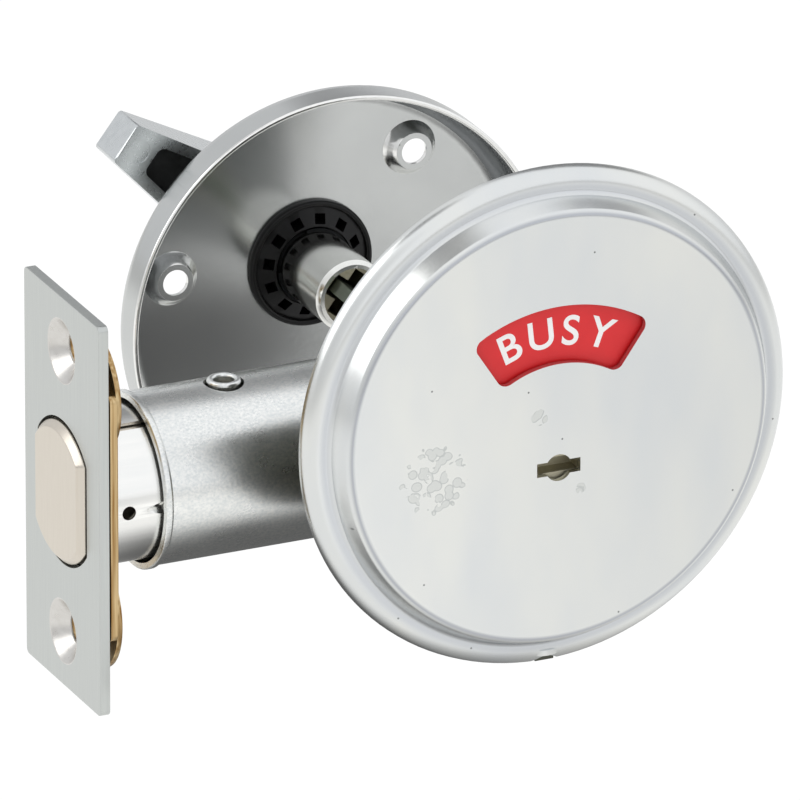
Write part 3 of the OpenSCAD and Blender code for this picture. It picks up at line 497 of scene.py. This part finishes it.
def round_chosen(piece, chosen, width):
    """Rounds the edges that a test chooses, to a width."""
    for part in (*piece.data.vertices, *piece.data.polygons):
        part.select = False
    for edge in piece.data.edges:
        edge.select = chosen(edge)
    bpy.context.tool_settings.mesh_select_mode = (False, True, False)
    bpy.ops.object.mode_set(mode="EDIT")
    bpy.ops.mesh.bevel(offset=width, segments=ROUND_SEGMENTS, clamp_overlap=False)
    bpy.ops.object.mode_set(mode="OBJECT")
    bpy.context.tool_settings.mesh_select_mode = (True, False, False)


def round_lip(piece):
    """Rounds both edges of the dish's lip, which lies lowest along Y."""
    corners = [corner.co for corner in piece.data.vertices]
    radii = [math.hypot(corner.x - dish_middle.x, corner.z - dish_middle.z) for corner in corners]

    def edges_lip(edge):
        first, second = edge.vertices
        lies_lowest = max(corners[first].y, corners[second].y) < dish_low.y + LIP_TOLERANCE
        runs_round = abs(radii[first] - radii[second]) < LIP_TOLERANCE
        return lies_lowest and runs_round and radii[first] > LIP_RADIUS

    round_chosen(piece, edges_lip, LIP_ROUND)


def from_axis(face):
    """The way from the dish's axis out to a face."""
    out = face.center - dish_middle
    out.y = 0
    return out


def on_inner_wall(face):
    """Whether a face belongs to the wall that looks at the dish's axis."""
    out = from_axis(face)
    return out.length > WALL_RADIUS and face.normal.dot(out.normalized()) < FACING_IN


def on_lip_or_dimple(face):
    """Whether a face belongs to the cut lip or to a screw's dimple."""
    corners = face.id_data.vertices
    on_lip = max(corners[corner].co.y for corner in face.vertices) < dish_low.y + LIP_DEPTH
    in_dimple = MIDDLE_RADIUS < from_axis(face).length < WALL_RADIUS and abs(face.normal.y) < FACING_FLAT
    return on_lip or in_dimple


dish = dressed("inside_rose", round_brushed, edge_mm=0.15, shape=round_lip)
repaint(dish, painted_shade_wall, on_inner_wall)
repaint(dish, polished_lip, on_lip_or_dimple)


# Bearing ring: black moulded nylon ring with notches, pressed into the inside rose.
# Its skin is dull, with a faint mould texture.
black_nylon, tree, shader = start_material("black_moulded_nylon", "#060606", 0.0, 0.4)
mould = grain(tree, 0.6)
vary(tree, shader, "Base Color", "#040404", "#090909", mould)
vary(tree, shader, "Roughness", 0.32, 0.48, mould)
raise_bumps(tree, shader, mould, 0.008)
shader.inputs["Specular IOR Level"].default_value = 0.3
dressed("bearing_ring", black_nylon, edge_mm=0.08)


# Spindle tube: turned steel tube pinned in the lever, zinc plated.
# Turning leaves fine lines round it, which draw its highlights out along it, and a few stains.
# The faces at its clip's groove that look towards the mouth are painted dark as shade.
GROOVE_FROM, FACING_MOUTH = 0.003, -0.7
turned_zinc, tree, shader = start_material("zinc_on_turned_tube", "#dadad6", 1.0, 0.22)
stained = grain(tree, 4, detail=5.0)
lathe = grain(tree, 0.5, (0.06, 1, 0.06), 3.0)
vary(tree, shader, "Base Color", "#d9d9d4", "#f1f1ed", stained)
vary(tree, shader, "Roughness", 0.11, 0.2, lathe)
brush_in_circles(tree, shader, 0.3)
tube = dressed("spindle_tube", turned_zinc, edge_mm=0.12)
groove_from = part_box("spindle_tube")[0].y + GROOVE_FROM
# Painted shade: the groove's faces that look towards the mouth take the dark black oxide colour.
repaint(tube, black_oxide_and_painted_shade, lambda face: face.normal.y < FACING_MOUTH and face.center.y > groove_from)


# Thumbturn lever: zinc die casting with a cored pocket, satin chromed.
# Its edges are tumbled round, and its deep pocket is painted dark as shade.
LONG_EDGE, TUMBLED_ROUND = 0.004, 0.00035
LEVER_ANGLE = math.radians(142)
LEVER_REACH, ROOT_WIDTH, TIP_WIDTH = 0.0324, 0.0162, 0.0063
POCKET_ENDS, POCKET_DEPTHS, POCKET_WALL = (0.0118, 0.0275), (0.0003, 0.0046), 0.0013
TUBE_SEAT = 0.00835
cast_chrome, tree, shader = start_material("satin_chrome_on_casting", "#ced1d2", 1.0, 0.28)
tumbled = grain(tree, 1.2, detail=5.0)
vary(tree, shader, "Base Color", "#c5c9ca", "#d8dbdb", tumbled)
vary(tree, shader, "Roughness", 0.2, 0.36, tumbled)
raise_bumps(tree, shader, tumbled, 0.004)
# Painted shade: a dark colour for the inside of the deep pocket.
painted_shade_pocket, tree, shader = start_material("casting_pocket_painted_shade", "#4d4e4e", 1.0, 0.5)
cored = grain(tree, 0.8, detail=4.0)
vary(tree, shader, "Base Color", "#3f4040", "#5b5c5c", cored)
vary(tree, shader, "Roughness", 0.44, 0.58, cored)
lever_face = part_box("spindle_tube")[1].y - TUBE_SEAT
along = Vector((math.cos(LEVER_ANGLE), 0, math.sin(LEVER_ANGLE)))
across = Vector((-along.z, 0, along.x))


def tumble_edges(piece):
    """Rounds the lever's long sharp edges."""
    corners = [corner.co for corner in piece.data.vertices]
    sides = {}
    for face in piece.data.polygons:
        for key in face.edge_keys:
            sides.setdefault(key, []).append(face.normal)

    def long_and_sharp(edge):
        first, second = edge.vertices
        normals = sides[edge.key]
        return ((corners[first] - corners[second]).length > LONG_EDGE and len(normals) == 2
                and normals[0].angle(normals[1]) > SHARP_EDGE)

    round_chosen(piece, long_and_sharp, TUMBLED_ROUND)


def in_pocket(face):
    """Whether a face lies inside the lever's cored pocket."""
    out, aside = (face.center - spindle).dot(along), (face.center - spindle).dot(across)
    half_width = (ROOT_WIDTH + (TIP_WIDTH - ROOT_WIDTH) * out / LEVER_REACH) / 2
    depth = face.center.y - lever_face
    return (POCKET_ENDS[0] < out < POCKET_ENDS[1] and POCKET_DEPTHS[0] < depth < POCKET_DEPTHS[1]
            and abs(aside) < half_width - POCKET_WALL)


lever = dressed("thumbturn_lever", cast_chrome, edge_mm=0.1, shape=tumble_edges)
repaint(lever, painted_shade_pocket, in_pocket)


# Light table: a glowing white plane far below the part, which dims with distance.
# In front of the part one patch is a little darker and one brighter.
TABLE_Z, TABLE_SIDE = -0.12, 12
FAR_FROM, FAR_TO, FAR_DIM = 0.6, 1.2, 0.65
PATCHES = (((0.25, -0.29, 0), 0.04, 0.14, 0.88), ((0.1, -0.33, 0), 0.04, 0.13, 1.2))
bpy.ops.mesh.primitive_plane_add(size=TABLE_SIDE, location=(0, 0, TABLE_Z))
floor = bpy.context.object
floor.name = "light_table"
table, tree, shader = start_material("glowing_white_table", "#000000", 0.0, 0.9)
place = add(tree, "ShaderNodeTexCoord", {}).outputs["Object"]
glow = band(tree, distance(tree, place, (spindle.x, 0, 0)), FAR_FROM, FAR_TO, (1.0, FAR_DIM))
for spot, core, rim, share in PATCHES:
    patch = band(tree, distance(tree, place, spot), core, rim, (share, 1.0), smooth=True)
    glow = combined(tree, "MULTIPLY", glow, patch)
shader.inputs["Emission Color"].default_value = linear("#ffffff")
tree.links.new(glow, shader.inputs["Emission Strength"])
floor.data.materials.append(table)
floor.select_set(False)


# Shade card: a dark card close under the part, hidden from the camera: a painted shadow of the part on a
# near table, which only its reflections show.
# It fades out round two ovals, one along the bolt unit and one near the spindle.
CARD_Z, CARD_GLOW = -0.027, 0.12
CARD_SIDE, CARD_FROM = 0.2, 0.004
SHADES = (((0.047, 0), (0.054, 0.035)), ((0.062, -0.012), (0.028, 0.017)))
SHADE_OUTER, SHADE_INNER = 1.15, 0.55
bpy.ops.mesh.primitive_plane_add(size=CARD_SIDE, location=(CARD_FROM + CARD_SIDE / 2, 0, CARD_Z))
bpy.ops.object.transform_apply(location=True)
card = bpy.context.object
card.name = "shade_card"
card.visible_camera = False
shade, tree, shader = start_material("painted_shadow_card", "#000000", 0.0, 0.9)
place = add(tree, "ShaderNodeTexCoord", {}).outputs["Object"]
dark = 0.0
for spot, reach in SHADES:
    moved = add(tree, "ShaderNodeVectorMath", {0: place, 1: (*spot, CARD_Z)}, operation="SUBTRACT")
    scaled = add(tree, "ShaderNodeVectorMath", {0: moved.outputs["Vector"], 1: (*reach, 1)},
                 operation="DIVIDE")
    away = add(tree, "ShaderNodeVectorMath", {0: scaled.outputs["Vector"]}, operation="LENGTH")
    near = band(tree, away.outputs["Value"], SHADE_OUTER, SHADE_INNER, smooth=True)
    dark = combined(tree, "MAXIMUM", dark, near)
tree.links.new(dark, shader.inputs["Alpha"])
shader.inputs["Emission Color"].default_value = linear("#ffffff")
shader.inputs["Emission Strength"].default_value = CARD_GLOW
card.data.materials.append(shade)
card.select_set(False)


# Tent and lamp: a white tent round the part, brighter in front and with three dimmer places.
# One square lamp stands at the upper left.
TENT_BACK, TENT_FRONT, TENT_TURN = 0.85, 1.12, 0.6
FRONT = (0.2, -0.6, 0.77)
DIM_PLACES = (((-0.36, 0.21, 0.91), 0.95, 0.995, 0.35), ((0.5, 0.62, 0.6), 0.9, 0.97, 0.32),
              ((-0.72, -0.62, 0.3), 0.78, 0.97, 0.8))
LAMP_FROM = Vector((-0.8, 0.22, 0.55)).normalized()
LAMP_DISTANCE, LAMP_SIDE, LAMP_GLOW = 1.2, 0.9, 1.3


def closeness(tree, looking, direction):
    """How nearly a line of sight points in a direction: the cosine of the angle between them."""
    return add(tree, "ShaderNodeVectorMath", {0: looking, 1: Vector(direction).normalized()},
               operation="DOT_PRODUCT").outputs["Value"]


world = bpy.data.worlds.new("white_tent")
bpy.context.scene.world = world
world.use_nodes = True
tree = world.node_tree
sky = tree.nodes["Background"]
sky.inputs["Color"].default_value = linear("#fbfcff")
looking = add(tree, "ShaderNodeTexCoord", {}).outputs["Generated"]
glow = band(tree, closeness(tree, looking, FRONT), 0.0, TENT_TURN, (TENT_BACK, TENT_FRONT))
for direction, rim, core, share in DIM_PLACES:
    dimmed = band(tree, closeness(tree, looking, direction), rim, core, (1.0, share), smooth=True)
    glow = combined(tree, "MULTIPLY", glow, dimmed)
tree.links.new(glow, sky.inputs["Strength"])
lit_from = Vector((spindle.x, 0, spindle.z)) + LAMP_FROM * LAMP_DISTANCE
bpy.ops.object.light_add(type="AREA", location=lit_from)
lamp = bpy.context.object
lamp.name = "left_box"
lamp.data.size = LAMP_SIDE
lamp.data.energy = LAMP_GLOW * math.pi * LAMP_SIDE ** 2
lamp.rotation_euler = LAMP_FROM.to_track_quat("Z", "Y").to_euler()
lamp.select_set(False)


# Camera: a long lens far away, on the photograph's line of sight.
# Its scale at the part is given in the photograph's pixels.
AZIMUTH, ELEVATION, ROLL = math.radians(-24.471), math.radians(22.23), math.radians(0.062)
DISTANCE, FAR_CLIP = 2.5, 50
AIM, SHIFT_RIGHT, SHIFT_UP = Vector((0.055, 0, 0.008)), -0.004065, -0.003503
PIXELS_PER_MM, IMAGE_SIDE, SENSOR = 7.29, 800, 36.0
back = Vector((math.sin(AZIMUTH) * math.cos(ELEVATION), -math.cos(AZIMUTH) * math.cos(ELEVATION),
               math.sin(ELEVATION)))
level = Vector((math.cos(AZIMUTH), math.sin(AZIMUTH), 0))
upright = back.cross(level)
right = math.cos(ROLL) * level + math.sin(ROLL) * upright
up = -math.sin(ROLL) * level + math.cos(ROLL) * upright
seen_middle = AIM + right * SHIFT_RIGHT + up * SHIFT_UP
bpy.ops.object.camera_add()
camera = bpy.context.object
camera.data.sensor_width = SENSOR
camera.data.lens = PIXELS_PER_MM * 1000 * DISTANCE / IMAGE_SIDE * SENSOR
camera.data.clip_end = FAR_CLIP
turned_to = Matrix((right, up, back)).transposed().to_4x4()
camera.matrix_world = Matrix.Translation(seen_middle + back * DISTANCE) @ turned_to
bpy.context.scene.camera = camera
bpy.context.scene.view_settings.view_transform = "Standard"
